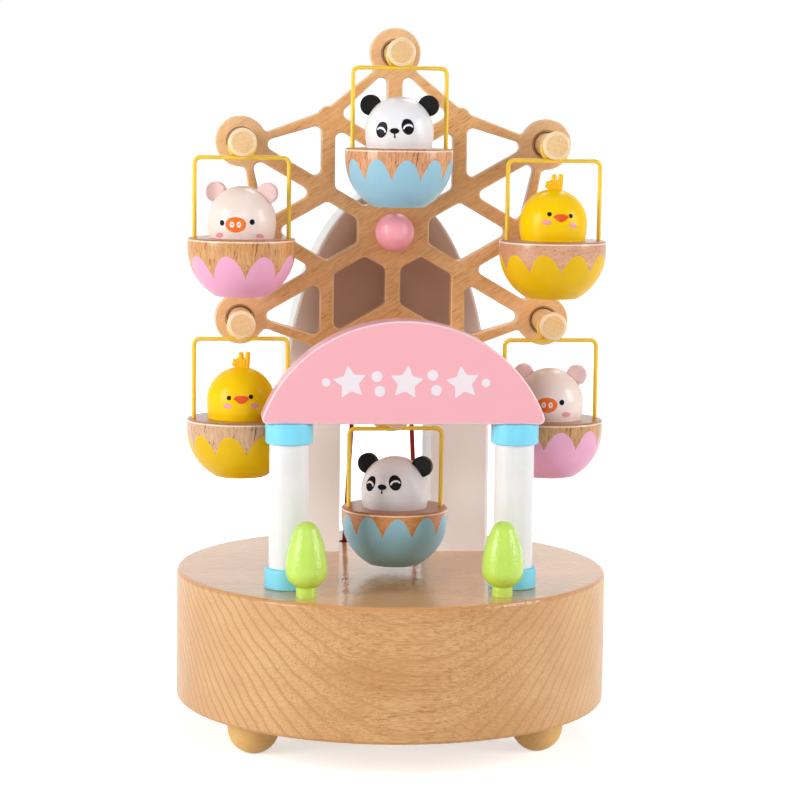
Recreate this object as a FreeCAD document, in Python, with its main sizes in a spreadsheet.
import FreeCAD, Part
import math
import os
import Sketcher

# Ferris wheel music box: a pierced beech wheel with six hung gondolas, driven by a
# belt from the musical movement in a round beech base.
# Frame: millimetres, +Z up, origin on the floor below the middle of the base.
# The gate and the trees are at the front, on the -Y side.

V = FreeCAD.Vector
doc = FreeCAD.newDocument("ferris_wheel_music_box")

# Driving sizes in millimetres and degrees
SIZES = {
    # round base
    "base_diameter": 120,
    "base_height": 36.3,
    "base_edge_round": 1.2,
    "base_top_wall": 4.6,
    "cover_diameter": 102,
    "cover_ledge": 4,
    "cover_thickness": 3.6,
    "cover_gap": 0.15,
    "foot_diameter": 14.2,
    "foot_height": 11,
    "foot_flat_depth": 0.3,
    "foot_edge_margin": 6,
    "foot_first_angle": 90,
    "screw_shank_diameter": 2,
    "screw_head_diameter": 3.6,
    "screw_length": 10,
    "glue_gap": 0.05,
    "running_gap": 0.05,
    # tower
    "tower_width": 59.8,
    "tower_height": 104.5,
    "tower_spring_height": 37,
    "tower_front_y": 22.5,
    "tower_front_depth": 20,
    "tower_back_depth": 8,
    "tower_edge_round": 1,
    "doorway_width": 26.4,
    "doorway_height": 52,
    "belt_channel_depth": 7,
    "belt_channel_play": 1.4,
    # wheel
    "hub_height": 93.5,
    "wheel_front_y": 6,
    "wheel_thickness": 5,
    "peg_circle_radius": 49.25,
    "lobe_diameter": 14.1,
    "spoke_width": 4.3,
    "bar_width": 3.9,
    "arm_width": 3.5,
    "node_circle_radius": 36.8,
    "node_diameter": 5.6,
    "hub_hexagon_width": 20,
    "lattice_corner_round": 1.7,
    "lattice_edge_ease": 0.4,
    "hub_ball_diameter": 10.9,
    "hub_ball_seat_depth": 0.9,
    # axle and pulley
    "axle_diameter": 3,
    "axle_in_ball": 4.5,
    "axle_behind_tower": 4.6,
    "bush_diameter": 6,
    "bush_flange_diameter": 9,
    "bush_flange_thickness": 0.8,
    "bush_length": 7,
    "spacer_diameter": 8,
    "spacer_end_play": 0.3,
    "spacer_edge_round": 0.8,
    "collar_diameter": 7,
    "collar_thickness": 3,
    "collar_chamfer": 0.5,
    # gondola pegs
    "peg_shank_diameter": 7.2,
    "peg_head_diameter": 7.7,
    "peg_head_length": 3.2,
    "peg_chamfer": 0.8,
    "groove_diameter": 5.6,
    "groove_length": 2.9,
    "gondola_wheel_gap": 0.8,
    # wire hangers
    "wire_diameter": 1.2,
    "wire_strand_gap": 0.1,
    "loop_inner_diameter": 6.4,
    "hanger_width": 25.6,
    "hanger_corner_radius": 1.7,
    "rim_drop": 25.8,
    "leg_socket_depth": 5,
    # bowls
    "bowl_diameter": 29.4,
    "bowl_height": 15.9,
    "bowl_rim_height": 3.2,
    "bowl_rim_round": 0.7,
    # heads
    "head_diameter": 18.7,
    "head_height": 14,
    "head_base_diameter": 17.8,
    "head_side_radius": 22,
    "spigot_diameter": 4,
    "spigot_length": 4,
    "ear_diameter": 5.7,
    "ear_thickness": 2.3,
    "ear_reach": 10.5,
    "panda_ear_angle": 49,
    "pig_ear_angle": 44,
    "ear_edge_round": 0.4,
    "tuft_width": 5,
    "tuft_height": 4.2,
    "tuft_thickness": 2,
    # gate
    "gate_y": -31.2,
    "gate_height": 44.6,
    "arch_width": 76.4,
    "arch_height": 27.5,
    "arch_thickness": 10,
    "arch_centre_drop": 11,
    "arch_corner_round": 1.5,
    "arch_edge_round": 0.6,
    "post_spacing": 60.4,
    "post_diameter": 10.6,
    "ring_diameter": 12.8,
    "cap_height": 5.6,
    "cap_socket_depth": 3,
    "foot_ring_height": 5.6,
    "ring_edge_round": 0.5,
    # trees
    "tree_y": -43.5,
    "tree_spacing": 52,
    "tree_height": 19.9,
    "tree_diameter": 11,
    "tree_widest_height": 7.2,
    "tree_lower_curve": 4.7,
    "tree_upper_curve": 24,
    "tree_tip_diameter": 6.8,
    "tree_tip_angle": 15,
    "tree_stem_diameter": 5.4,
    "tree_stem_height": 2.8,
    # belt drive
    "belt_y": 39,
    "belt_diameter": 1.3,
    "belt_hole_diameter": 4,
    "belt_pulley_gap": 0.12,
    "wheel_pulley_pitch_radius": 5.8,
    "drive_pulley_pitch_radius": 11.6,
    "pulley_thickness": 3.4,
    "pulley_rim": 1,
    "drive_pulley_height": 29.3,
    # musical movement
    "bedplate_thickness": 2.4,
    "bedplate_width": 46,
    "bedplate_front_y": -30,
    "bedplate_back_y": 33,
    "bedplate_corner_cut": 3,
    "bedplate_screw_margin": 4,
    "bedplate_screw_side_margin": 3,
    "post_sunk_depth": 0.5,
    "arbor_diameter": 2.4,
    "cylinder_diameter": 13,
    "cylinder_front_y": 2.6,
    "cylinder_length": 19.4,
    "pin_diameter": 0.6,
    "pin_length": 0.6,
    "bearing_thickness": 2.2,
    "bearing_width": 9,
    "bearing_play": 0.3,
    "comb_tooth_pitch": 1.05,
    "comb_slot_width": 0.3,
    "comb_thickness": 1.1,
    "comb_width": 15,
    "comb_tooth_length": 8,
    "comb_tip_gap": 0.25,
    "comb_seat_width": 6.5,
    "barrel_diameter": 25,
    "barrel_y": -15,
    "barrel_floor_gap": 0.3,
    "tooth_depth": 1.2,
    "pinion_diameter": 8,
    "pinion_width": 3,
    "mesh_gap": 0.3,
    "shaft_diameter": 3.6,
    "shaft_above_barrel": 1.6,
    "key_width": 22,
    "key_height": 6.6,
    "key_thickness": 2.4,
    "key_boss_diameter": 7,
    "key_boss_chamfer": 0.6,
    "key_floor_gap": 1.6,
    "worm_wheel_diameter": 12,
    "worm_diameter": 3,
    "fly_width": 7,
    "fly_height": 3.2,
    "fly_thickness": 0.5,
    "fly_shaft_diameter": 1.2,
    "governor_wall": 1.4,
    "governor_side_gap": 0.8,
    "governor_tip_reach": 0.4,
}

LATTICE_FOLD = 6
FOOT_COUNT = 3
COMB_TEETH = 18
BARREL_TEETH = 30
PINION_TEETH = 10
WORM_WHEEL_TEETH = 24

# Which animal rides where, with the angle of the peg and the way the head looks
GONDOLAS = (
    ("top", "panda", 90, -13),
    ("upper_left", "pig", 150, -19),
    ("lower_left", "chick", 210, -3),
    ("bottom", "panda", 270, -25),
    ("lower_right", "pig", 330, -11),
    ("upper_right", "chick", 30, 5),
)

sheet = doc.addObject("Spreadsheet::Sheet", "sizes")
for row, (alias, amount) in enumerate(SIZES.items(), start=1):
    sheet.set("A%d" % row, alias.replace("_", " "))
    sheet.set("B%d" % row, str(amount))
    sheet.setAlias("B%d" % row, alias)
doc.recompute()


class Size:
    """A number together with the sheet formula it comes from."""

    def __init__(self, value, formula):
        self.value = float(value)
        self.formula = formula

    def joined(self, other, sign, value):
        return Size(value, "(%s %s %s)" % (self.formula, sign, other.formula))

    def __add__(self, other):
        other = size(other)
        return self.joined(other, "+", self.value + other.value)

    def __radd__(self, other):
        return size(other) + self

    def __sub__(self, other):
        other = size(other)
        return self.joined(other, "-", self.value - other.value)

    def __rsub__(self, other):
        return size(other) - self

    def __mul__(self, other):
        other = size(other)
        return self.joined(other, "*", self.value * other.value)

    def __rmul__(self, other):
        return size(other) * self

    def __truediv__(self, other):
        other = size(other)
        return self.joined(other, "/", self.value / other.value)

    def __neg__(self):
        return Size(-self.value, "(0 - %s)" % self.formula)


def size(what):
    """A Size from a sheet alias, a plain number or a Size."""
    if isinstance(what, Size):
        return what
    if isinstance(what, str):
        return Size(sheet.get(what), "sizes." + what)
    return Size(what, "%.9g" % what if what >= 0 else "(0 - %.9g)" % -what)


def sine(angle):
    angle = size(angle)
    return Size(math.sin(math.radians(angle.value)), "sin(%s)" % angle.formula)


def cosine(angle):
    angle = size(angle)
    return Size(math.cos(math.radians(angle.value)), "cos(%s)" % angle.formula)


def root(amount):
    return Size(math.sqrt(amount.value), "sqrt(%s)" % amount.formula)


def half(what):
    return size(what) / 2


def bind(thing, **settings):
    """Tie properties of an object to sheet formulas."""
    for name, amount in settings.items():
        thing.setExpression(name, size(amount).formula)


def put(thing, x=0, y=0, z=0, turn_axis=(0, 0, 1), turn=0):
    """Place an object: its position is tied to the sheet, its turn is fixed."""
    spot = [size(x), size(y), size(z)]
    rotation = FreeCAD.Rotation(V(*turn_axis), turn)
    thing.Placement = FreeCAD.Placement(V(*[amount.value for amount in spot]), rotation)
    for name, amount in zip("xyz", spot):
        thing.setExpression("Placement.Base." + name, amount.formula)
    return thing


# Turning a body by this makes its own Z axis point to the front, along -Y
FACING_FRONT = {"turn_axis": (1, 0, 0), "turn": 90}

NODES = []


def node(thing, name):
    """Name a finished sub-part and keep it for export."""
    thing.Label = name
    NODES.append(thing)
    return thing


def body(name):
    return doc.addObject("PartDesign::Body", name)


def sketch(owner, plane, offset=0):
    """A sketch on one of the body's own origin planes, moved along its normal."""
    drawing = owner.newObject("Sketcher::SketchObject", owner.Name + "_sketch")
    origin_plane = [part for part in owner.Origin.OriginFeatures if part.Role == plane][0]
    drawing.AttachmentSupport = [(origin_plane, "")]
    drawing.MapMode = "FlatFace"
    offset = size(offset)
    drawing.AttachmentOffset = FreeCAD.Placement(V(0, 0, offset.value), FreeCAD.Rotation())
    drawing.setExpression("AttachmentOffset.Base.z", offset.formula)
    return drawing


def dimension(drawing, kind, *where_and_amount):
    """Add a driving constraint tied to its formula."""
    amount = where_and_amount[-1]
    index = drawing.addConstraint(Sketcher.Constraint(kind, *where_and_amount[:-1], amount.value))
    name = "length_%d" % index
    drawing.renameConstraint(index, name)
    drawing.setExpression("Constraints." + name, amount.formula)


def pin_point(drawing, piece, end, x, y):
    """Hold one end of a line or arc, or a circle's centre, at x, y."""
    if x.value == 0:
        drawing.addConstraint(Sketcher.Constraint("PointOnObject", piece, end, -2))
    else:
        dimension(drawing, "DistanceX", -1, 1, piece, end, x)
    if y.value == 0:
        drawing.addConstraint(Sketcher.Constraint("PointOnObject", piece, end, -1))
    else:
        dimension(drawing, "DistanceY", -1, 1, piece, end, y)


def circle(drawing, diameter, x=0, y=0):
    x, y, diameter = size(x), size(y), size(diameter)
    round_line = Part.Circle(V(x.value, y.value, 0), V(0, 0, 1), diameter.value / 2)
    index = drawing.addGeometry(round_line, False)
    pin_point(drawing, index, 3, x, y)
    dimension(drawing, "Diameter", index, diameter)


def crown_of_arc(start, end, radius):
    """The middle point of the short arc; a positive radius turns left, a negative right."""
    chord = end - start
    middle = (start + end) * 0.5
    across = V(-chord.y, chord.x, 0).normalize()
    reach = math.sqrt(max(radius * radius - (chord.Length / 2) ** 2, 0))
    rise = abs(radius) - reach
    return middle - across * math.copysign(rise, radius)


def outline(drawing, corners):
    """A closed outline. A corner is (x, y), or (x, y, radius) where an arc leaves it."""
    corners = [tuple(size(amount) for amount in corner) for corner in corners]
    spots = [V(corner[0].value, corner[1].value, 0) for corner in corners]
    pieces = []
    for index, corner in enumerate(corners):
        start = spots[index]
        end = spots[(index + 1) % len(spots)]
        if len(corner) == 3:
            curve = Part.Arc(start, crown_of_arc(start, end, corner[2].value), end)
            piece = drawing.addGeometry(curve, False)
            turns_left = corner[2].value > 0
            pieces.append((piece, 1 if turns_left else 2, 2 if turns_left else 1))
            radius = corner[2] if turns_left else -corner[2]
            dimension(drawing, "Radius", piece, radius)
        else:
            piece = drawing.addGeometry(Part.LineSegment(start, end), False)
            pieces.append((piece, 1, 2))
    for index, (piece, start_end, _) in enumerate(pieces):
        previous, _, previous_end = pieces[index - 1]
        drawing.addConstraint(Sketcher.Constraint("Coincident", previous, previous_end, piece, start_end))
        pin_point(drawing, piece, start_end, corners[index][0], corners[index][1])


def feature(owner, kind, drawing, **lengths):
    made = owner.newObject("PartDesign::" + kind, owner.Name + "_" + kind.lower())
    made.Profile = drawing
    bind(made, **lengths)
    return made


def pad(owner, drawing, length, reverse=False):
    made = feature(owner, "Pad", drawing, Length=length)
    made.Reversed = reverse
    return made


def pocket(owner, drawing, length, reverse=False):
    made = feature(owner, "Pocket", drawing, Length=length)
    made.Reversed = reverse
    return made


def turned(name, profile):
    """A lathe-turned body: the profile is (radius, height) about the body's Z axis."""
    piece = body(name)
    drawing = sketch(piece, "XZ_Plane")
    outline(drawing, profile)
    made = piece.newObject("PartDesign::Revolution", name + "_turning")
    made.Profile = drawing
    made.ReferenceAxis = (drawing, ["V_Axis"])
    made.Angle = 360
    return piece


def board(name, corners, thickness):
    """A board cut to an outline in the XZ plane, its front face at the body's Y = 0."""
    piece = body(name)
    drawing = sketch(piece, "XZ_Plane")
    outline(drawing, corners)
    pad(piece, drawing, thickness, reverse=True)
    return piece


def chosen_edges(shape, test):
    return ["Edge%d" % (index + 1) for index, edge in enumerate(shape.Edges) if test(edge)]


def eased(owner, kind, amount, test):
    """Round or chamfer the edges of the body that pass the test."""
    doc.recompute()
    base = owner.Tip
    names = chosen_edges(base.Shape, test)
    made = owner.newObject("PartDesign::" + kind, owner.Name + "_" + kind.lower())
    made.Base = (base, names)
    if kind == "Fillet":
        bind(made, Radius=amount)
    else:
        bind(made, Size=amount)
    return made


def polar(owner, features, axis_role, count):
    made = owner.newObject("PartDesign::PolarPattern", owner.Name + "_polar")
    made.Originals = features
    axis = [part for part in owner.Origin.OriginFeatures if part.Role == axis_role][0]
    made.Axis = (axis, [""])
    made.Angle = 360
    made.Occurrences = count
    owner.Tip = made
    return made


def cylinder(name, radius, height):
    made = doc.addObject("Part::Cylinder", name)
    bind(made, Radius=radius, Height=height)
    return made


def block(name, length, width, height):
    made = doc.addObject("Part::Box", name)
    bind(made, Length=length, Width=width, Height=height)
    return made


def joined(name, pieces):
    made = doc.addObject("Part::MultiFuse", name)
    made.Shapes = pieces
    return made


def cut(name, base, tool):
    made = doc.addObject("Part::Cut", name)
    made.Base = base
    made.Tool = tool
    return made


def group(name, pieces):
    """Several like solids that share one node."""
    made = doc.addObject("Part::Compound", name)
    made.Links = pieces
    return made


def solid(name, shape):
    """A shape that only the geometry kernel's own sweeps can make."""
    made = doc.addObject("Part::Feature", name)
    made.Shape = shape
    return made


def is_upright(edge):
    """A straight edge along the thickness of a board in the XZ plane."""
    line = isinstance(edge.Curve, Part.Line)
    return line and abs(edge.tangentAt(edge.FirstParameter).y) > 0.999


def lies_at(axis, level):
    """A test for edges whose whole length lies at one coordinate."""
    def test(edge):
        box = edge.BoundBox
        low, high = {"x": (box.XMin, box.XMax), "y": (box.YMin, box.YMax), "z": (box.ZMin, box.ZMax)}[axis]
        return abs(low - level) < 1e-4 and abs(high - level) < 1e-4
    return test


# Levels and places that several sub-parts share
base_top = size("foot_height") + "base_height"
cover_top = size("foot_height") + "cover_thickness"
hub_z = base_top + "hub_height"
wheel_back_y = size("wheel_front_y") + "wheel_thickness"
tower_back_y = size("tower_front_y") + "tower_front_depth"
tower_end_y = tower_back_y + "tower_back_depth"
wire_y = size("wheel_front_y") - half("bowl_diameter") - "gondola_wheel_gap"
bedplate_top = cover_top + "bedplate_thickness"
post_x = half("post_spacing")
axle_bore = size("axle_diameter") + size("running_gap") * 2
glued_axle_bore = size("axle_diameter") + size("glue_gap") * 2


def base_block():
    """The turned beech drum: hollow from below, with slots for the belt in its top."""
    piece = body("base_block_body")
    drawing = sketch(piece, "XY_Plane", "foot_height")
    circle(drawing, "base_diameter")
    pad(piece, drawing, "base_height")
    eased(piece, "Fillet", "base_edge_round", lambda edge: len(edge.Vertexes) < 2)
    drawing = sketch(piece, "XY_Plane", "foot_height")
    circle(drawing, size("cover_diameter") + size("cover_gap") * 2)
    pocket(piece, drawing, "cover_thickness", reverse=True)
    drawing = sketch(piece, "XY_Plane", "foot_height")
    circle(drawing, size("cover_diameter") - size("cover_ledge") * 2)
    pocket(piece, drawing, size("base_height") - "base_top_wall", reverse=True)
    drawing = sketch(piece, "XY_Plane", base_top)
    strand_x = size("drive_pulley_pitch_radius") - (base_top - "drive_pulley_height") * belt_slope()
    for side in (-1, 1):
        circle(drawing, "belt_hole_diameter", strand_x * side, "belt_y")
    pocket(piece, drawing, size("base_top_wall") + 1)
    drawing = sketch(piece, "XY_Plane", cover_top)
    for angle in screw_angles():
        radius = screw_circle_radius()
        hole = size("screw_shank_diameter") + size("glue_gap") * 2
        circle(drawing, hole, radius * cosine(angle), radius * sine(angle))
    pocket(piece, drawing, size("screw_length") - "cover_thickness" + 0.5, reverse=True)
    node(piece, "base_block")


def belt_slope():
    """How far a belt strand leans inwards for each millimetre of height."""
    spread = size("drive_pulley_pitch_radius") - "wheel_pulley_pitch_radius"
    return spread / (hub_z - "drive_pulley_height")


def foot_angles():
    return [size("foot_first_angle") + 360 / FOOT_COUNT * index for index in range(FOOT_COUNT)]


def screw_angles():
    return [angle + 180 / FOOT_COUNT for angle in foot_angles()]


def screw_circle_radius():
    """The cover's screws stand in the middle of the ledge that the cover lies on."""
    return half("cover_diameter") - half("cover_ledge")


def base_cover():
    """The round bottom cover, let into the base, with a hole for the winding shaft."""
    piece = body("base_cover_body")
    drawing = sketch(piece, "XY_Plane", "foot_height")
    circle(drawing, "cover_diameter")
    circle(drawing, size("shaft_diameter") + 1, 0, "barrel_y")
    hole = size("screw_shank_diameter") + size("glue_gap") * 2
    radius = screw_circle_radius()
    for angle in screw_angles():
        circle(drawing, hole, radius * cosine(angle), radius * sine(angle))
    pad(piece, drawing, "cover_thickness")
    drawing = sketch(piece, "XY_Plane", "foot_height")
    for angle in screw_angles():
        head = size("screw_head_diameter") + size("glue_gap") * 2
        circle(drawing, head, radius * cosine(angle), radius * sine(angle))
    pocket(piece, drawing, head_height(), reverse=True)
    for x, y in movement_screw_places():
        drawing = sketch(piece, "XY_Plane", "foot_height")
        circle(drawing, hole, x, y)
        pocket(piece, drawing, size("cover_thickness") + 1, reverse=True)
        drawing = sketch(piece, "XY_Plane", "foot_height")
        circle(drawing, size("screw_head_diameter") + size("glue_gap") * 2, x, y)
        pocket(piece, drawing, head_height(), reverse=True)
    node(piece, "base_cover")


def head_height():
    return size("screw_head_diameter") * 0.35


def screw(name, length):
    """A pan head screw that points up, its head's underside level with Z = head height."""
    shank = half("screw_shank_diameter")
    head = half("screw_head_diameter")
    return turned(name, [
        (0, 0), (head, 0), (head, head_height()), (shank, head_height()),
        (shank, length), (0, size(length) + shank),
    ])


def bottom_screws():
    """The screws of the underside: three hold the cover, four hold the movement."""
    pieces = []
    for index, angle in enumerate(screw_angles()):
        made = screw("cover_screw_%d" % index, size("screw_length") - half("screw_shank_diameter"))
        radius = screw_circle_radius()
        put(made, radius * cosine(angle), radius * sine(angle), "foot_height")
        pieces.append(made)
    length = size("cover_thickness") + "bedplate_thickness"
    for index, (x, y) in enumerate(movement_screw_places()):
        made = screw("movement_screw_%d" % index, length - half("screw_shank_diameter"))
        pieces.append(put(made, x, y, "foot_height"))
    node(group("bottom_screw_set", pieces), "bottom_screws")


def movement_screw_places():
    x = half("bedplate_width") - "bedplate_screw_side_margin"
    front = size("bedplate_front_y") + "bedplate_screw_margin"
    back = size("bedplate_back_y") - "bedplate_screw_margin"
    return [(x * side, y) for side in (-1, 1) for y in (front, back)]


def ball_feet():
    """Three turned ball feet under the cover, each with a small flat on the floor."""
    radius = half("foot_diameter")
    centre = radius - "foot_flat_depth"
    seat_rise = size("foot_height") - centre
    seat = root(radius * radius - seat_rise * seat_rise)
    floor = root(radius * radius - centre * centre)
    pieces = []
    for index, angle in enumerate(foot_angles()):
        made = turned("ball_foot_%d" % index, [
            (0, 0), (floor, 0, radius), (radius, centre, radius), (seat, "foot_height"), (0, "foot_height"),
        ])
        reach = half("cover_diameter") - "foot_edge_margin"
        pieces.append(put(made, reach * cosine(angle), reach * sine(angle)))
    node(group("ball_foot_set", pieces), "ball_feet")


def tower_layer(name, front_y, depth):
    """One layer of the tower: an upright box under a half oval top, pierced by the doorway."""
    lower = block(name + "_lower", "tower_width", depth, "tower_spring_height")
    put(lower, -half("tower_width"), front_y, base_top)
    spring_z = base_top + "tower_spring_height"
    crown = doc.addObject("Part::Ellipse", name + "_oval")
    rise = size("tower_height") - "tower_spring_height"
    bind(crown, MajorRadius=rise, MinorRadius=half("tower_width"))
    oval = doc.addObject("Part::Extrusion", name + "_oval_block")
    oval.Base = crown
    oval.DirMode = "Custom"
    oval.Dir = V(0, 0, -1)
    oval.Solid = True
    bind(oval, LengthFwd=depth)
    turned_up = FreeCAD.Rotation(V(1, 0, 0), 90).multiply(FreeCAD.Rotation(V(0, 0, 1), 90))
    crown.Placement = FreeCAD.Placement(V(0, 0, 0), FreeCAD.Rotation())
    oval.Placement = FreeCAD.Placement(V(0, 0, 0), turned_up)
    bind(oval, **{"Placement.Base.y": front_y, "Placement.Base.z": spring_z})
    above = block(name + "_above", "tower_width", depth, size("tower_height") - "tower_spring_height")
    put(above, -half("tower_width"), front_y, spring_z)
    upper = doc.addObject("Part::Common", name + "_upper")
    upper.Base = oval
    upper.Tool = above
    whole = joined(name + "_whole", [lower, upper])
    radius = half("doorway_width")
    straight_height = size("doorway_height") - radius + 1
    straight = block(name + "_door_lower", "doorway_width", size(depth) + 2, straight_height)
    put(straight, -radius, size(front_y) - 1, base_top - 1)
    arch = cylinder(name + "_door_top", radius, size(depth) + 2)
    put(arch, 0, size(front_y) + depth + 1, base_top + "doorway_height" - radius, **FACING_FRONT)
    door = joined(name + "_doorway", [straight, arch])
    return cut(name + "_open", whole, door)


def tower_front():
    """The thick front layer, with the bore for the bush and the belt channel behind."""
    layer = tower_layer("tower_front", size("tower_front_y"), size("tower_front_depth"))
    doc.recompute()
    front = size("tower_front_y").value
    door = half("doorway_width").value
    rounded = doc.addObject("Part::Fillet", "tower_front_rounded")
    rounded.Base = layer
    wanted = []
    for index, edge in enumerate(layer.Shape.Edges):
        box = edge.BoundBox
        at_front = lies_at("y", front)(edge)
        on_floor = lies_at("z", base_top.value)(edge)
        in_door = box.XMax < door + 0.01 and box.XMin > -door - 0.01
        if at_front and not on_floor and not in_door:
            wanted.append((index + 1, size("tower_edge_round").value, size("tower_edge_round").value))
    rounded.Edges = wanted
    bush_bore = size("bush_diameter") + size("glue_gap") * 2
    bore = cylinder("tower_front_bore", bush_bore / 2, size("tower_front_depth") + 2)
    put(bore, 0, tower_back_y + 1, hub_z, **FACING_FRONT)
    pulley = cylinder("tower_pulley_room", pulley_room(), size("belt_channel_depth") + 1)
    put(pulley, 0, tower_back_y + 1, hub_z, **FACING_FRONT)
    channel = channel_block()
    hollow = joined("tower_front_hollow", [bore, pulley, channel])
    node(cut("tower_front_cut", rounded, hollow), "tower_front")


def pulley_room():
    return size("wheel_pulley_pitch_radius") + "pulley_rim" + "belt_channel_play"


def channel_block():
    """The two belt strands' channel, a tapered slot from the pulley down to the doorway."""
    piece = body("belt_channel")
    drawing = sketch(piece, "XZ_Plane")
    low = base_top + "doorway_height" - half("doorway_width")
    play = half("belt_diameter") + "belt_channel_play"
    top_x = size("wheel_pulley_pitch_radius") + play
    low_x = size("wheel_pulley_pitch_radius") + belt_slope() * (hub_z - low) + play
    outline(drawing, [(-low_x, low), (low_x, low), (top_x, hub_z), (-top_x, hub_z)])
    pad(piece, drawing, size("belt_channel_depth") + 1)
    put(piece, 0, tower_back_y + 1, 0)
    return piece


def tower_back():
    """The thinner rear layer, which closes the belt channel."""
    layer = tower_layer("tower_back", tower_back_y, size("tower_back_depth"))
    bush_bore = size("bush_diameter") + size("glue_gap") * 2
    bore = cylinder("tower_back_bore", bush_bore / 2, size("tower_back_depth") + 2)
    put(bore, 0, tower_end_y + 1, hub_z, **FACING_FRONT)
    node(cut("tower_back_cut", layer, bore), "tower_back")


def bush(name):
    """A flanged brass bush; its flange lies at the front."""
    inner = axle_bore / 2
    outer = half("bush_diameter")
    flange = half("bush_flange_diameter")
    end = size("bush_length") + "bush_flange_thickness"
    return turned(name, [
        (inner, 0), (outer, 0), (outer, "bush_length"),
        (flange, "bush_length"), (flange, end), (inner, end),
    ])


def axle_bushes():
    front = put(bush("front_bush"), 0, size("tower_front_y") + "bush_length", hub_z, **FACING_FRONT)
    rear = put(bush("rear_bush"), 0, tower_end_y - "bush_length", hub_z, turn_axis=(1, 0, 0), turn=-90)
    node(group("bush_pair", [front, rear]), "axle_bushes")


def axle_end_y():
    return tower_end_y + "axle_behind_tower"


def wheel_axle():
    """The steel axle from the hub ball to the collar behind the tower."""
    front = size("wheel_front_y") - "axle_in_ball"
    length = axle_end_y() - front
    radius = half("axle_diameter")
    made = turned("wheel_axle_body", [(0, 0), (radius, 0), (radius, length), (0, length)])
    node(put(made, 0, axle_end_y(), hub_z, **FACING_FRONT), "wheel_axle")


def wheel_spacer():
    """The bead between the wheel and the tower's front bush."""
    gap_to_bush = size("bush_flange_thickness") + "spacer_end_play"
    length = size("tower_front_y") - gap_to_bush - wheel_back_y
    inner = glued_axle_bore / 2
    outer = half("spacer_diameter")
    ease = size("spacer_edge_round")
    made = turned("wheel_spacer_body", [
        (inner, 0), (outer - ease, 0, ease), (outer, ease), (outer, length - ease, ease),
        (outer - ease, length), (inner, length),
    ])
    node(put(made, 0, wheel_back_y + length, hub_z, **FACING_FRONT), "wheel_spacer")


def axle_collar():
    """The collar that keeps the axle from sliding out."""
    length = size("collar_thickness")
    inner = glued_axle_bore / 2
    outer = half("collar_diameter")
    ease = size("collar_chamfer")
    made = turned("axle_collar_body", [
        (inner, 0), (outer - ease, 0), (outer, ease), (outer, length - ease),
        (outer - ease, length), (inner, length),
    ])
    rear_play = size("bush_flange_thickness") + "spacer_end_play"
    node(put(made, 0, tower_end_y + rear_play + length, hub_z, **FACING_FRONT), "axle_collar")


def hub_ball():
    """The round wooden ball glued on the axle's front end, flat where it meets the wheel."""
    radius = half("hub_ball_diameter")
    centre = radius - "hub_ball_seat_depth"
    seat = root(radius * radius - centre * centre)
    hole = glued_axle_bore / 2
    depth = size("axle_in_ball") + 0.2
    made = turned("hub_ball_body", [
        (hole, 0), (seat, 0, radius), (radius, centre, radius), (0, centre + radius),
        (0, depth), (hole, depth),
    ])
    node(put(made, 0, "wheel_front_y", hub_z, **FACING_FRONT), "hub_ball")


def pulley(name, pitch, bore):
    """A pulley with a round groove that holds the belt with a small gap all round."""
    groove = half("belt_diameter") + "belt_pulley_gap"
    rim = size(pitch) + "pulley_rim"
    width = size("pulley_thickness")
    middle = width / 2
    return turned(name, [
        (bore, 0), (rim, 0), (rim, middle - groove), (pitch, middle - groove, -groove),
        (size(pitch) - groove, middle, -groove), (pitch, middle + groove), (rim, middle + groove),
        (rim, width), (bore, width),
    ])


def wheel_pulley():
    made = pulley("wheel_pulley_body", "wheel_pulley_pitch_radius", glued_axle_bore / 2)
    node(put(made, 0, size("belt_y") + half("pulley_thickness"), hub_z, **FACING_FRONT), "wheel_pulley")


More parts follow.
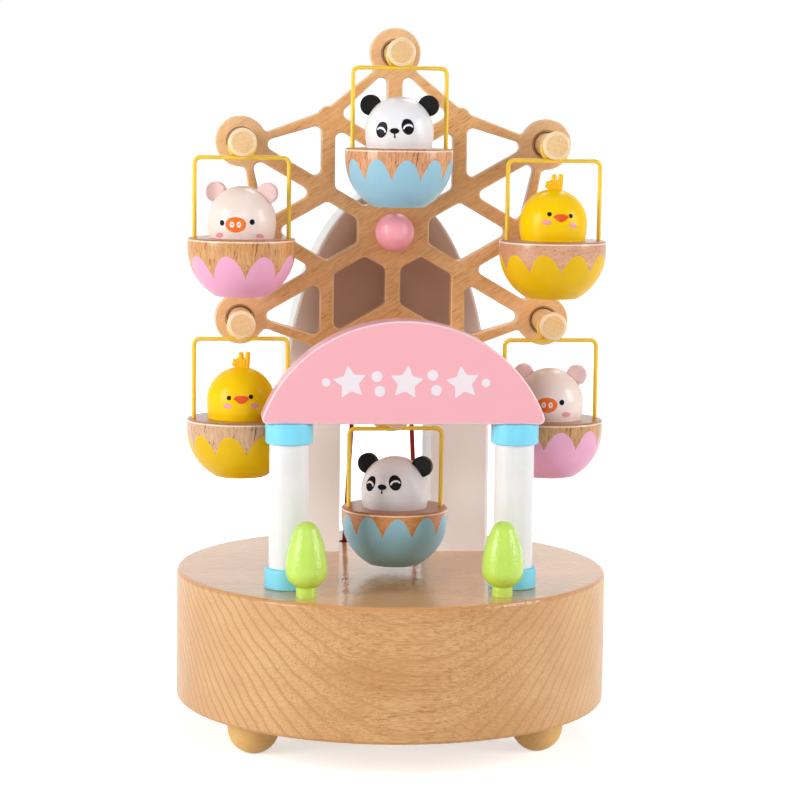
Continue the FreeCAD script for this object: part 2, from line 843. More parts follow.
def lattice_wheel():
    """The pierced wheel: spokes, slanting bars and rim arms round a six-sided hub."""
    piece = body("wheel_body")
    pegs = size("peg_circle_radius")
    nodes = size("node_circle_radius")
    spoke = half("spoke_width")
    bar = half("bar_width")
    arm = half("arm_width")
    # one sixth of the outline runs from a lobe at 30 degrees to the next at 90 degrees,
    # through the rim node between them
    lobe_x, lobe_y = pegs * cosine(30), pegs * sine(30)
    run = root((lobe_x - nodes) * (lobe_x - nodes) + lobe_y * lobe_y)
    along_x, along_y = (lobe_x - nodes) / run, lobe_y / run
    node_out = nodes + arm / along_y
    drawing = sketch(piece, "XZ_Plane")
    corners = []
    for step in range(LATTICE_FOLD):
        corners.append((node_out * cosine(60 * step), node_out * sine(60 * step)))
        corners.append((pegs * cosine(60 * step + 30), pegs * sine(60 * step + 30)))
    outline(drawing, corners)
    pad(piece, drawing, "wheel_thickness", reverse=True)
    # lobes and rim nodes
    drawing = sketch(piece, "XZ_Plane")
    circle(drawing, "lobe_diameter", lobe_x, lobe_y)
    lobe = pad(piece, drawing, "wheel_thickness", reverse=True)
    drawing = sketch(piece, "XZ_Plane")
    circle(drawing, "node_diameter", nodes, 0)
    bump = pad(piece, drawing, "wheel_thickness", reverse=True)
    polar(piece, [lobe, bump], "Y_Axis", LATTICE_FOLD)
    # the five-sided hole between two spokes, then the two three-sided holes outside it
    hexagon = half("hub_hexagon_width")
    inner_y = (hexagon - spoke / sine(30)) * (sine(30) / cosine(30))
    tip_x = nodes - bar / sine(30)
    knee_x = (tip_x + spoke / sine(30)) / 2
    knee_y = (knee_x - spoke / sine(30)) * (sine(30) / cosine(30))
    drawing = sketch(piece, "XZ_Plane")
    outline(drawing, [
        (hexagon, -inner_y), (knee_x, -knee_y), (tip_x, 0), (knee_x, knee_y), (hexagon, inner_y),
    ])
    big = pocket(piece, drawing, size("wheel_thickness") + 1, reverse=False)
    drawing = sketch(piece, "XZ_Plane")
    # lines: spoke edge below the spoke at 30 degrees, bar's outer edge, arm's inner edge
    slope = sine(30) / cosine(30)
    outer_x = nodes + bar / sine(30)
    foot_x = (outer_x + spoke / sine(30)) / 2
    foot_y = (foot_x - spoke / sine(30)) * slope
    arm_x = nodes - arm / along_y
    lean = along_x / along_y
    near_y = (outer_x - arm_x) * slope / (lean * slope + 1)
    near_x = arm_x + lean * near_y
    far_y = (arm_x - spoke / sine(30)) * slope / (1 - lean * slope)
    far_x = arm_x + lean * far_y
    outline(drawing, [(foot_x, foot_y), (near_x, near_y), (far_x, far_y)])
    outline(drawing, [(foot_x, -foot_y), (far_x, -far_y), (near_x, -near_y)])
    small = pocket(piece, drawing, size("wheel_thickness") + 1, reverse=False)
    polar(piece, [big, small], "Y_Axis", LATTICE_FOLD)
    return piece


def finished_wheel():
    """Peg holes and the axle bore, rounded lattice corners and eased edges."""
    piece = lattice_wheel()
    drawing = sketch(piece, "XZ_Plane")
    circle(drawing, "axle_diameter")
    pegs = size("peg_circle_radius")
    hole = size("peg_shank_diameter") + size("glue_gap") * 2
    for index in range(LATTICE_FOLD):
        angle = 60 * index + 30
        circle(drawing, hole, pegs * cosine(angle), pegs * sine(angle))
    pocket(piece, drawing, size("wheel_thickness") + 1, reverse=False)
    eased(piece, "Fillet", "lattice_corner_round", is_upright)
    faces = (0, size("wheel_thickness").value)
    bore = half("axle_diameter").value
    peg_hole = hole.value / 2

    def is_rim(edge):
        small = isinstance(edge.Curve, Part.Circle) and min(
            abs(edge.Curve.Radius - bore), abs(edge.Curve.Radius - peg_hole)) < 1e-3
        return not small and any(lies_at("y", level)(edge) for level in faces)

    eased(piece, "Chamfer", "lattice_edge_ease", is_rim)
    node(put(piece, 0, "wheel_front_y", hub_z), "wheel")


def peg_spot(angle):
    """Where a peg's axis crosses the wire plane."""
    reach = size("peg_circle_radius")
    return reach * cosine(angle), hub_z + reach * sine(angle)


def gondola_pegs():
    """Six turned pegs glued through the lobes, each with a groove behind its head."""
    shank = half("peg_shank_diameter")
    head = half("peg_head_diameter")
    groove = half("groove_diameter")
    groove_start = wheel_back_y - wire_y - half("groove_length")
    groove_end = groove_start + "groove_length"
    end = groove_end + "peg_head_length"
    chamfer = size("peg_chamfer")
    pieces = []
    for name, _, angle, _ in GONDOLAS:
        made = turned(name + "_peg", [
            (0, 0), (shank, 0), (shank, groove_start), (groove, groove_start), (groove, groove_end),
            (head, groove_end), (head, end - chamfer), (head - chamfer, end), (0, end),
        ])
        x, z = peg_spot(angle)
        pieces.append(put(made, x, wheel_back_y, z, **FACING_FRONT))
    node(group("gondola_peg_set", pieces), "gondola_pegs")


def strand_step():
    """Half the way that the wire moves sideways in one turn of its loop."""
    return (size("wire_diameter") + "wire_strand_gap") / 2


def loop_radius():
    return half("loop_inner_diameter") + half("wire_diameter")


def loop_drop():
    """How far the loop hangs below the peg's axis."""
    return half("loop_inner_diameter") - half("groove_diameter") - "running_gap"


def hanger_shape(x, z):
    """One bent wire: leg, corner, bar, a full turn round the peg, bar, corner, leg."""
    radius = loop_radius().value
    step = strand_step().value
    centre_z = z.value - loop_drop().value
    bar_z = centre_z - radius
    reach = half("hanger_width").value
    corner = size("hanger_corner_radius").value
    foot_z = z.value - size("rim_drop").value - size("leg_socket_depth").value
    middle_x, middle_y = x.value, wire_y.value

    def at(along, across, height):
        return V(middle_x + along, middle_y + across, height)

    def bend(side, across):
        middle = corner * (1 - math.sqrt(0.5))
        return Part.Arc(
            at(side * reach, across, bar_z - corner),
            at(side * (reach - middle), across, bar_z - middle),
            at(side * (reach - corner), across, bar_z))

    top = centre_z + radius
    lines = [
        Part.LineSegment(at(-reach, -step, foot_z), at(-reach, -step, bar_z - corner)),
        bend(-1, -step),
        Part.LineSegment(at(corner - reach, -step, bar_z), at(0, -step, bar_z)),
        half_turn(at(0, -step, bar_z), at(0, 0, top), 1),
        half_turn(at(0, 0, top), at(0, step, bar_z), -1),
        Part.LineSegment(at(0, step, bar_z), at(reach - corner, step, bar_z)),
        bend(1, step),
        Part.LineSegment(at(reach, step, bar_z - corner), at(reach, step, foot_z)),
    ]
    path = Part.Wire([line.toShape() for line in lines])
    section = Part.Circle(at(-reach, -step, foot_z), V(0, 0, 1), half("wire_diameter").value)
    face = Part.Face(Part.Wire(section.toShape()))
    return path.makePipe(face), path.Length * face.Area


def half_turn(start, end, side):
    """Half of the wire's loop, from start over the side to end."""
    middle = (start + end) * 0.5
    return Part.Arc(start, middle + V(side * (end - start).Length / 2, 0, 0), end)


def hanger(name, angle):
    x, z = peg_spot(angle)
    shape, expected = hanger_shape(x, z)
    print("%s wire volume %.2f of %.2f" % (name, shape.Volume, expected))
    node(solid(name + "_hanger_wire", shape), name + "_hanger")


def bowl(name, angle):
    """A turned half-round bowl, drilled for the wire's two legs and the head's spigot."""
    radius = half("bowl_diameter")
    height = size("bowl_height")
    wall = size("bowl_rim_height")
    fall = height - wall
    foot = root(radius * radius - fall * fall)
    rim = size("bowl_rim_round")
    bottom = -height
    made = turned(name + "_bowl_body", [
        (0, bottom), (foot, bottom, radius), (radius, -wall), (radius, -rim, rim),
        (radius - rim, 0), (0, 0),
    ])
    step = strand_step()
    drawing = sketch(made, "XY_Plane")
    hole = size("wire_diameter") + size("glue_gap") * 2
    circle(drawing, hole, -half("hanger_width"), -step)
    circle(drawing, hole, half("hanger_width"), step)
    pocket(made, drawing, size("leg_socket_depth") + 0.2)
    drawing = sketch(made, "XY_Plane")
    circle(drawing, size("spigot_diameter") + size("glue_gap") * 2)
    pocket(made, drawing, size("spigot_length") + 0.2)
    x, z = peg_spot(angle)
    node(put(made, x, wire_y, z - "rim_drop"), name + "_bowl")


def head_centre_rise():
    return size("head_height") - half("head_diameter")


def head_profile(grow):
    """A half ball on gently bulging sides, with a spigot; grow swells it for cutting seats."""
    radius = half("head_diameter") + grow
    seat = half("head_base_diameter") + grow
    spigot = half("spigot_diameter")
    return [
        (0, -size("spigot_length")), (spigot, -size("spigot_length")), (spigot, 0),
        (seat, 0, "head_side_radius"), (radius, head_centre_rise(), radius),
        (0, size("head_height") + grow),
    ]


def head(name, animal, angle):
    made = turned(name + "_head_body", head_profile(0))
    x, z = peg_spot(angle)
    node(put(made, x, wire_y, z - "rim_drop"), "%s_%s_head" % (name, animal))
    return made


def head_seat(name, angle):
    made = turned(name + "_head_seat", head_profile(size("glue_gap")))
    x, z = peg_spot(angle)
    return put(made, x, wire_y, z - "rim_drop")


def round_ear(name):
    """A small flat ear with eased edges, its axis along the body's Z."""
    radius = half("ear_diameter")
    depth = size("ear_thickness")
    ease = size("ear_edge_round")
    return turned(name, [
        (0, 0), (radius - ease, 0, ease), (radius, ease), (radius, depth - ease, ease),
        (radius - ease, depth), (0, depth),
    ])


def ears(name, animal, angle, look):
    """Two round ears, cut to sit on the head and turned the way the head looks."""
    x, z = peg_spot(angle)
    centre_z = z - "rim_drop" + head_centre_rise()
    reach = size("ear_reach")
    out = reach * sine(animal + "_ear_angle")
    up = reach * cosine(animal + "_ear_angle")
    back = half("ear_thickness")
    pair = []
    for side, word in ((-1, "left"), (1, "right")):
        made = round_ear("%s_%s_ear" % (name, word))
        spin = FreeCAD.Rotation(V(0, 0, 1), look).multiply(FreeCAD.Rotation(V(1, 0, 0), 90))
        put(
            made,
            x + out * side * cosine(look) - back * sine(look),
            wire_y + out * side * sine(look) + back * cosine(look),
            centre_z + up)
        made.Placement = FreeCAD.Placement(made.Placement.Base, spin)
        pair.append(made)
    both = group("%s_ear_blanks" % name, pair)
    node(cut("%s_ears_cut" % name, both, head_seat(name, angle)), "%s_%s_ears" % (name, animal))


def prong(name, middle, width, foot, tip):
    """One round-ended finger of the tuft, standing in the XZ plane."""
    stem = block(name + "_stem", width, "tuft_thickness", tip - foot - size(width) / 2)
    put(stem, size(middle) - size(width) / 2, -half("tuft_thickness"), foot)
    end = cylinder(name + "_end", size(width) / 2, "tuft_thickness")
    put(end, middle, half("tuft_thickness"), tip - size(width) / 2, **FACING_FRONT)
    return joined(name, [stem, end])


def tuft(name, animal, angle, look):
    """The chick's flat tuft: a low lobe and two taller ones, cut to sit on the head."""
    width = size("tuft_width")
    foot = size("head_height") - half("tuft_width") * 0.4
    tip = size("head_height") + "tuft_height"
    low = prong(name + "_low_lobe", width * -0.28, width * 0.44, foot, tip - size("tuft_height") * 0.55)
    tall = prong(name + "_tall_prong", width * 0.08, width * 0.32, foot, tip)
    side = prong(name + "_side_prong", width * 0.36, width * 0.3, foot, tip - size("tuft_height") * 0.08)
    made = joined(name + "_tuft_blank", [low, tall, side])
    x, z = peg_spot(angle)
    put(made, x, wire_y, z - "rim_drop")
    made.Placement = FreeCAD.Placement(made.Placement.Base, FreeCAD.Rotation(V(0, 0, 1), look))
    node(cut("%s_tuft_cut" % name, made, head_seat(name, angle)), "%s_%s_tuft" % (name, animal))


def gondolas():
    for name, animal, angle, look in GONDOLAS:
        hanger(name, angle)
        bowl(name, angle)
        head(name, animal, angle)
        if animal == "chick":
            tuft(name, animal, angle, look)
        else:
            ears(name, animal, angle, look)


def gate_arch():
    """The pink arch board: a low oval cut off straight below its middle."""
    depth = size("arch_thickness")
    drop = size("arch_centre_drop")
    tall = size("arch_height") + drop
    squash = root(1 - drop * drop / (tall * tall))
    bottom_z = base_top + "gate_height"
    front_y = size("gate_y") - depth / 2
    oval_line = doc.addObject("Part::Ellipse", "gate_arch_oval")
    bind(oval_line, MajorRadius=half("arch_width") / squash, MinorRadius=tall)
    oval = doc.addObject("Part::Extrusion", "gate_arch_oval_block")
    oval.Base = oval_line
    oval.DirMode = "Custom"
    oval.Dir = V(0, 0, -1)
    oval.Solid = True
    bind(oval, LengthFwd=depth)
    oval.Placement = FreeCAD.Placement(V(0, 0, 0), FreeCAD.Rotation(V(1, 0, 0), 90))
    bind(oval, **{"Placement.Base.y": front_y, "Placement.Base.z": bottom_z - drop})
    above = block("gate_arch_above", "arch_width", depth, "arch_height")
    put(above, -half("arch_width"), front_y, bottom_z)
    board_shape = doc.addObject("Part::Common", "gate_arch_board")
    board_shape.Base = oval
    board_shape.Tool = above
    doc.recompute()
    corners = doc.addObject("Part::Fillet", "gate_arch_corners")
    corners.Base = board_shape
    radius = size("arch_corner_round").value
    corners.Edges = [
        (index + 1, radius, radius) for index, edge in enumerate(board_shape.Shape.Edges)
        if is_upright(edge)]
    doc.recompute()
    faces = (front_y.value, (front_y + depth).value)
    rounded = doc.addObject("Part::Fillet", "gate_arch_rounded")
    rounded.Base = corners
    radius = size("arch_edge_round").value
    rounded.Edges = [
        (index + 1, radius, radius) for index, edge in enumerate(corners.Shape.Edges)
        if any(lies_at("y", level)(edge) for level in faces)]
    node(rounded, "gate_arch")


def ring(name, height, bore, depth, mouth_up):
    """A painted wooden ring or cap with a blind or open bore for the post."""
    outer = half("ring_diameter")
    ease = size("ring_edge_round")
    profile = [
        (outer - ease, 0, ease), (outer, ease), (outer, size(height) - ease, ease), (outer - ease, height),
    ]
    if mouth_up:
        profile = [(bore, 0)] + profile + [(bore, height)]
    else:
        profile = [(bore, 0)] + profile + [(0, height), (0, depth), (bore, depth)]
    return turned(name, profile)


def gate_side(word, side):
    """A white post with a blue foot ring on the base and a blue cap under the arch."""
    x = post_x * side
    bore = half("post_diameter") + "glue_gap"
    foot = ring(word + "_foot_ring_body", "foot_ring_height", bore, 0, True)
    node(put(foot, x, "gate_y", base_top), word + "_foot_ring")
    cap_z = base_top + "gate_height" - "cap_height"
    cap = ring(word + "_post_cap_body", "cap_height", bore, "cap_socket_depth", False)
    node(put(cap, x, "gate_y", cap_z), word + "_post_cap")
    radius = half("post_diameter")
    tall = size("gate_height") - "cap_height" + "cap_socket_depth"
    post = turned(word + "_post_body", [(0, 0), (radius, 0), (radius, tall), (0, tall)])
    node(put(post, x, "gate_y", base_top), word + "_post")


def tree(word, side):
    """A turned lime tree: a short stem under an egg-shaped crown."""
    radius = half("tree_diameter")
    stem = half("tree_stem_diameter")
    base = size("tree_stem_height")
    widest = size("tree_widest_height")
    tip = half("tree_tip_diameter")
    tip_centre = size("tree_height") - tip
    shoulder = "tree_tip_angle"
    made = turned(word + "_tree_body", [
        (0, 0), (stem, 0), (stem, base, "tree_lower_curve"), (radius, widest, "tree_upper_curve"),
        (tip * cosine(shoulder), tip_centre + tip * sine(shoulder), tip), (0, "tree_height"),
    ])
    node(put(made, half("tree_spacing") * side, "tree_y", base_top), word + "_tree")


def belt_shape():
    """The closed red belt: two straight strands and the two arcs round its pulleys."""
    low_z = size("drive_pulley_height").value
    top_z = hub_z.value
    low_r = size("drive_pulley_pitch_radius").value
    top_r = size("wheel_pulley_pitch_radius").value
    y = size("belt_y").value
    tilt = math.asin((low_r - top_r) / (top_z - low_z))

    def spot(radius, height, angle):
        return V(radius * math.cos(angle), y, height + radius * math.sin(angle))

    right_low = spot(low_r, low_z, tilt)
    right_top = spot(top_r, top_z, tilt)
    left_top = spot(top_r, top_z, math.pi - tilt)
    left_low = spot(low_r, low_z, math.pi - tilt)
    lines = [
        Part.LineSegment(right_low, right_top),
        Part.Arc(right_top, spot(top_r, top_z, math.pi / 2), left_top),
        Part.LineSegment(left_top, left_low),
        Part.Arc(left_low, spot(low_r, low_z, -math.pi / 2), right_low),
    ]
    path = Part.Wire([line.toShape() for line in lines])
    section = Part.Circle(right_low, right_top - right_low, half("belt_diameter").value)
    face = Part.Face(Part.Wire(section.toShape()))
    return path.makePipe(face), path.Length * face.Area


def drive_belt():
    shape, expected = belt_shape()
    print("belt volume %.2f of %.2f" % (shape.Volume, expected))
    node(solid("drive_belt_loop", shape), "drive_belt")


def cylinder_back_y():
    return size("cylinder_front_y") + "cylinder_length"


def bearing_places():
    """The front faces of the two bearing posts, one at each end of the cylinder."""
    front = size("cylinder_front_y") - "bearing_play" - "bearing_thickness"
    return [front, cylinder_back_y() + "bearing_play"]


def comb_tip_x():
    return -(half("cylinder_diameter") + "pin_length" + "comb_tip_gap")


def comb_middle_y():
    return size("cylinder_front_y") + half("cylinder_length")


def comb_screw_places():
    x = comb_tip_x() - "comb_width" + half("comb_seat_width")
    spread = size("comb_tooth_pitch") * (COMB_TEETH / 3)
    return [(x, comb_middle_y() + spread * side) for side in (-1, 1)]


def comb_bottom():
    return size("drive_pulley_height") - half("comb_thickness")


def bedplate():
    """The cast bedplate: a flat plate with two bearing posts and the comb's seat."""
    piece = body("bedplate_body")
    drawing = sketch(piece, "XY_Plane", cover_top)
    across = half("bedplate_width")
    cut_corner = size("bedplate_corner_cut")
    front, back = size("bedplate_front_y"), size("bedplate_back_y")
    outline(drawing, [
        (-across, front + cut_corner), (-across + cut_corner, front), (across - cut_corner, front),
        (across, front + cut_corner), (across, back - cut_corner), (across - cut_corner, back),
        (-across + cut_corner, back), (-across, back - cut_corner),
    ])
    circle(drawing, size("shaft_diameter") + size("running_gap") * 2, 0, "barrel_y")
    for x, y in movement_screw_places():
        circle(drawing, size("screw_shank_diameter") + size("glue_gap") * 2, x, y)
    pad(piece, drawing, "bedplate_thickness")
    arbor_z = size("drive_pulley_height")
    half_post = half("bearing_width")
    sunk = bedplate_top - "post_sunk_depth"
    for front_y in bearing_places():
        drawing = sketch(piece, "XZ_Plane", -front_y)
        outline(drawing, [
            (-half_post, sunk), (half_post, sunk), (half_post, arbor_z),
            (half_post * 0.5, arbor_z + half_post * 0.8), (-half_post * 0.5, arbor_z + half_post * 0.8),
            (-half_post, arbor_z),
        ])
        circle(drawing, size("arbor_diameter") + size("running_gap") * 2, 0, arbor_z)
        pad(piece, drawing, "bearing_thickness", reverse=True)
    drawing = sketch(piece, "XY_Plane", sunk)
    rear_x = comb_tip_x() - "comb_width"
    wide = size("comb_tooth_pitch") * (COMB_TEETH / 2)
    outline(drawing, [
        (rear_x, comb_middle_y() - wide), (rear_x + "comb_seat_width", comb_middle_y() - wide),
        (rear_x + "comb_seat_width", comb_middle_y() + wide), (rear_x, comb_middle_y() + wide),
    ])
    pad(piece, drawing, comb_bottom() - sunk)
    drawing = sketch(piece, "XY_Plane", comb_bottom())
    for x, y in comb_screw_places():
        circle(drawing, size("screw_shank_diameter") + size("glue_gap") * 2, x, y)
    pocket(piece, drawing, comb_screw_length())
    node(piece, "bedplate")


def comb_screw_length():
    return size("screw_length") - "comb_thickness"


def comb():
    """The steel comb: a plate slit into teeth that reach almost to the cylinder's pins."""
    piece = body("comb_body")
    drawing = sketch(piece, "XY_Plane", comb_bottom())
    tip = comb_tip_x()
    wide = size("comb_tooth_pitch") * (COMB_TEETH / 2)
    low_y = comb_middle_y() - wide
    high_y = low_y + wide * 2
    rear = tip - "comb_width"
    outline(drawing, [(rear, low_y), (tip, low_y), (tip, high_y), (rear, high_y)])
    for x, y in comb_screw_places():
        circle(drawing, size("screw_shank_diameter") + size("glue_gap") * 2, x, y)
    pad(piece, drawing, "comb_thickness")
    drawing = sketch(piece, "XY_Plane", comb_bottom())
    slit = half("comb_slot_width")
    middle = low_y + "comb_tooth_pitch"
    outline(drawing, [
        (tip - "comb_tooth_length", middle - slit), (tip + 1, middle - slit),
        (tip + 1, middle + slit), (tip - "comb_tooth_length", middle + slit),
    ])
    first = pocket(piece, drawing, size("comb_thickness") + 1, reverse=True)
    teeth = piece.newObject("PartDesign::LinearPattern", "comb_slits")
    teeth.Originals = [first]
    axis = [part for part in piece.Origin.OriginFeatures if part.Role == "Y_Axis"][0]
    teeth.Direction = (axis, [""])
    teeth.Occurrences = COMB_TEETH - 1
    bind(teeth, Length=size("comb_tooth_pitch") * (COMB_TEETH - 2))
    piece.Tip = teeth
    node(piece, "comb")


def comb_screws():
    pieces = []
    top = size("drive_pulley_height") + half("comb_thickness") + head_height()
    for index, (x, y) in enumerate(comb_screw_places()):
        made = screw("comb_screw_%d" % index, size("screw_length") - half("screw_shank_diameter"))
        pieces.append(put(made, x, y, top, turn_axis=(1, 0, 0), turn=180))
    node(group("comb_screw_set", pieces), "comb_screws")


def toothed_wheel(name, diameter, width, teeth, bore):
    """A small wheel with straight notches between its teeth, its axis along Z."""
    piece = body(name)
    radius = size(diameter) / 2
    drawing = sketch(piece, "XY_Plane")
    circle(drawing, diameter)
    circle(drawing, bore)
    pad(piece, drawing, width)
    drawing = sketch(piece, "XY_Plane")
    gap = radius * (math.pi * 0.55 / teeth)
    root_radius = radius - "tooth_depth"
    outside = radius + 0.5
    outline(drawing, [
        (root_radius, gap * -0.4), (outside, -gap), (outside, gap), (root_radius, gap * 0.4),
    ])
    notch = pocket(piece, drawing, size(width) + 1, reverse=True)
    polar(piece, [notch], "Z_Axis", teeth)
    return piece


def cylinder_gears():
    """The pinion that the barrel drives and the wheel that drives the governor's worm."""
    arbor_z = size("drive_pulley_height")
    bore = size("arbor_diameter") + size("glue_gap") * 2
    pinion = toothed_wheel("cylinder_pinion", "pinion_diameter", "pinion_width", PINION_TEETH, bore)
    pinion_end = size("barrel_y") + half("barrel_diameter")
    put(pinion, 0, pinion_end, arbor_z, **FACING_FRONT)
    worm_wheel = toothed_wheel(
        "worm_wheel", "worm_wheel_diameter", "bearing_thickness", WORM_WHEEL_TEETH, bore)
    put(worm_wheel, 0, worm_wheel_y() + half("bearing_thickness"), arbor_z, **FACING_FRONT)
    node(group("cylinder_gear_pair", [pinion, worm_wheel]), "cylinder_gears")


def worm_wheel_y():
    return bearing_places()[1] + "bearing_thickness" + "bearing_play" + half("bearing_thickness")


def cylinder_arbor():
    """The steel arbor that carries the cylinder, its gears and the drive pulley."""
    front = size("barrel_y") + half("barrel_diameter") - "pinion_width" - "bearing_play"
    back = size("belt_y") + half("pulley_thickness") + 1
    radius = half("arbor_diameter")
    made = turned("cylinder_arbor_body", [(0, 0), (radius, 0), (radius, back - front), (0, back - front)])
    node(put(made, 0, back, "drive_pulley_height", **FACING_FRONT), "cylinder_arbor")


def music_cylinder():
    """The brass cylinder with two pins on each of its tracks, set round in a spiral."""
    bore = half("arbor_diameter") + "glue_gap"
    radius = half("cylinder_diameter")
    arbor_z = size("drive_pulley_height")
    drum = turned("music_cylinder_drum", [
        (bore, 0), (radius, 0), (radius, "cylinder_length"), (bore, "cylinder_length"),
    ])
    put(drum, 0, cylinder_back_y(), arbor_z, **FACING_FRONT)
    pieces = [drum]
    sunk = 0.5
    golden_turn = 137.5
    for track in range(COMB_TEETH):
        y = comb_middle_y() + size("comb_tooth_pitch") * (track + 0.5 - COMB_TEETH / 2)
        for turn in (track * golden_turn, track * golden_turn + 180):
            turn = turn % 360
            name = "cylinder_pin_%d_%d" % (track, turn)
            made = cylinder(name, half("pin_diameter"), size("pin_length") + sunk)
            reach = radius - sunk
            put(made, reach * sine(turn), y, arbor_z + reach * cosine(turn), turn_axis=(0, 1, 0), turn=turn)
            pieces.append(made)
    node(joined("music_cylinder_whole", pieces), "music_cylinder")


def drive_pulley():
    bore = half("arbor_diameter") + "glue_gap"
    made = pulley("drive_pulley_body", "drive_pulley_pitch_radius", bore)
    back_y = size("belt_y") + half("pulley_thickness")
    node(put(made, 0, back_y, "drive_pulley_height", **FACING_FRONT), "drive_pulley")


def barrel_bottom():
    return bedplate_top + "barrel_floor_gap"


def spring_barrel():
    """The closed drum of the mainspring, with crown teeth on its upper rim."""
    top = size("drive_pulley_height") - half("pinion_diameter") - "mesh_gap"
    deck = top - "tooth_depth" - barrel_bottom()
    radius = half("barrel_diameter")
    bore = half("shaft_diameter") + "running_gap"
    piece = turned("spring_barrel_body", [
        (bore, 0), (radius - 0.8, 0), (radius, 0.8), (radius, deck), (bore, deck),
    ])
    drawing = sketch(piece, "XY_Plane", deck - 0.2)
    inner = radius - "pinion_width"
    wide = radius * (math.pi * 0.45 / BARREL_TEETH)
    outer = radius - 0.1
    outline(drawing, [(inner, -wide * 0.7), (outer, -wide), (outer, wide), (inner, wide * 0.7)])
    tooth = pad(piece, drawing, size("tooth_depth") + 0.2)
    polar(piece, [tooth], "Z_Axis", BARREL_TEETH)
    node(put(piece, 0, "barrel_y", barrel_bottom()), "spring_barrel")


def winding_shaft():
    """The threaded shaft through the cover and the barrel."""
    foot = size("foot_height") - "cover_thickness"
    top = size("drive_pulley_height") - half("pinion_diameter") - "mesh_gap" + "shaft_above_barrel"
    radius = half("shaft_diameter")
    made = turned("winding_shaft_body", [
        (0, 0), (radius, 0), (radius, top - foot - 0.5), (radius - 0.5, top - foot), (0, top - foot),
    ])
    node(put(made, 0, "barrel_y", foot), "winding_shaft")


def winding_key():
    """The butterfly key below the cover: a boss and two flat round wings with holes."""
    low = size("key_floor_gap")
    boss_top = size("foot_height") - 0.4
    bore = half("shaft_diameter") + "glue_gap"
    boss_radius = half("key_boss_diameter")
    ease = size("key_boss_chamfer")
    seat = size("foot_height") - "cover_thickness"
    boss = turned("winding_key_boss", [
        (0, low), (boss_radius - ease, low), (boss_radius, low + ease), (boss_radius, boss_top),
        (bore, boss_top), (bore, seat), (0, seat),
    ])
    put(boss, 0, "barrel_y", 0)
    wing = half("key_height")
    reach = half("key_width") - wing
    back = size("barrel_y") + half("key_thickness")
    pieces = [boss]
    holes = []
    for side, word in ((-1, "left"), (1, "right")):
        disc = cylinder("winding_key_%s_wing" % word, wing, "key_thickness")
        pieces.append(put(disc, reach * side, back, low + wing, **FACING_FRONT))
        hole = cylinder("winding_key_%s_hole" % word, wing * 0.45, size("key_thickness") + 2)
        holes.append(put(hole, reach * side, back + 1, low + wing, **FACING_FRONT))
        arm_length = reach - boss_radius * 0.9
        arm = block("winding_key_%s_arm" % word, arm_length, "key_thickness", wing)
        start = boss_radius * 0.9 if side > 0 else -reach
        pieces.append(put(arm, start, back - "key_thickness", low + wing * 0.5))
    whole = joined("winding_key_whole", pieces)
    node(cut("winding_key_cut", whole, joined("winding_key_holes", holes)), "winding_key")


def fly_x():
    return half("worm_wheel_diameter") + "mesh_gap" + half("worm_diameter")


def fly_bottom():
    return size("drive_pulley_height") + half("worm_wheel_diameter") + "bearing_play"


def governor_fly():
    """The governor's upright spindle with its worm and two flat vanes."""
    shaft = half("fly_shaft_diameter")
    worm = half("worm_diameter")
    middle = size("drive_pulley_height")
    low = lower_arm_top() - "governor_wall"
    vane_top = fly_bottom() + "fly_height"
    top = vane_top + "bearing_play" + "governor_wall"
    spindle = turned("governor_spindle", [
        (0, low), (shaft, low), (shaft, middle - worm * 2), (worm, middle - worm * 1.6),
        (worm, middle + worm * 1.6), (shaft, middle + worm * 2), (shaft, top), (0, top),
    ])
    put(spindle, fly_x(), worm_wheel_y(), 0)
    vane = block("governor_vane", "fly_width", "fly_thickness", "fly_height")
    put(vane, fly_x() - half("fly_width"), worm_wheel_y() - half("fly_thickness"), fly_bottom())
    node(joined("governor_fly_whole", [spindle, vane]), "governor_fly")


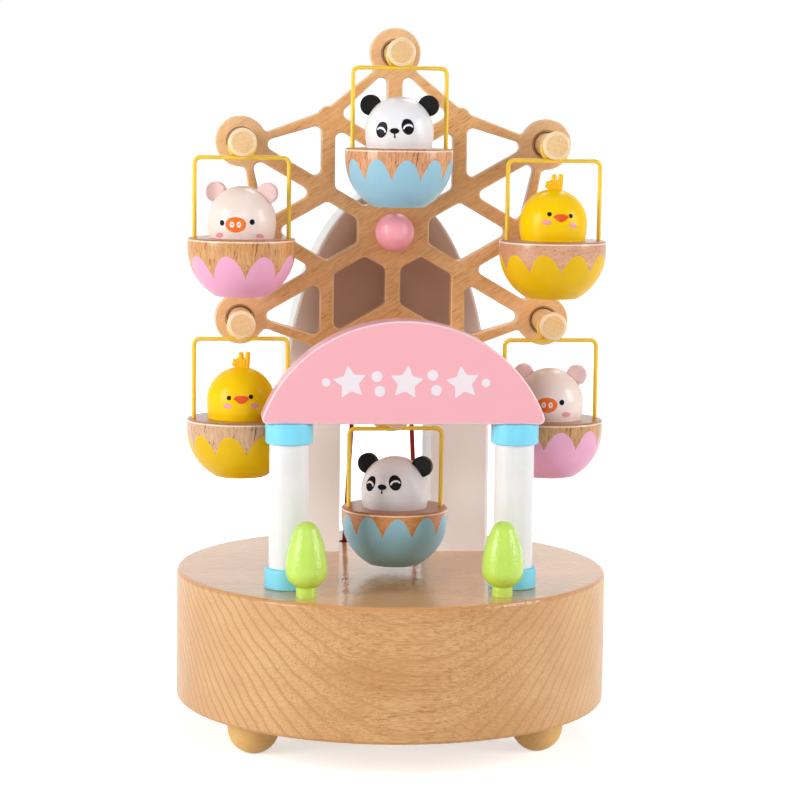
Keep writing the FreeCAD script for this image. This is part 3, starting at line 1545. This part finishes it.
def lower_arm_top():
    return size("drive_pulley_height") - size("worm_diameter") - "bearing_play"


def governor_frame():
    """The bent bracket that holds the governor's spindle at both ends."""
    wall = size("governor_wall")
    inner = fly_x() + half("fly_width") + "governor_side_gap"
    tip = fly_x() - half("worm_diameter") - "governor_tip_reach"
    low = lower_arm_top()
    high = fly_bottom() + "fly_height" + "bearing_play"
    foot = size("governor_wall") * 3
    piece = board("governor_frame_body", [
        (tip, high), (inner, high), (inner, low), (tip, low), (tip, low - wall), (inner, low - wall),
        (inner, bedplate_top), (inner + wall + foot, bedplate_top),
        (inner + wall + foot, bedplate_top + wall),
        (inner + wall, bedplate_top + wall), (inner + wall, high + wall), (tip, high + wall),
    ], "fly_width")
    drawing = sketch(piece, "XY_Plane", high + wall)
    circle(drawing, size("fly_shaft_diameter") + size("running_gap") * 2, fly_x(), half("fly_width"))
    pocket(piece, drawing, high - low + wall * 2 + 1)
    node(put(piece, 0, worm_wheel_y() - half("fly_width"), 0), "governor_frame")


def checked_export():
    """Stop at any failed object, then write one file for each node."""
    for thing in doc.Objects:
        if "Invalid" in thing.State or "Error" in thing.State:
            raise SystemExit("%s failed: %s" % (thing.Name, thing.State))
    os.makedirs("parts", exist_ok=True)
    for thing in NODES:
        if thing.Shape.isNull() or not thing.Shape.isValid():
            raise SystemExit("%s has no valid shape" % thing.Label)
        thing.Shape.exportStep("parts/%s.step" % thing.Label)
    print(len(NODES), "nodes written")


def build():
    base_block()
    base_cover()
    bottom_screws()
    ball_feet()
    tower_front()
    tower_back()
    axle_bushes()
    wheel_axle()
    wheel_spacer()
    axle_collar()
    hub_ball()
    wheel_pulley()
    finished_wheel()
    gondola_pegs()
    gondolas()
    gate_arch()
    for word, side in (("left", -1), ("right", 1)):
        gate_side(word, side)
        tree(word, side)
    drive_belt()
    bedplate()
    comb()
    comb_screws()
    music_cylinder()
    cylinder_arbor()
    cylinder_gears()
    drive_pulley()
    spring_barrel()
    winding_shaft()
    winding_key()
    governor_frame()
    governor_fly()
    doc.recompute()
    checked_export()


build()
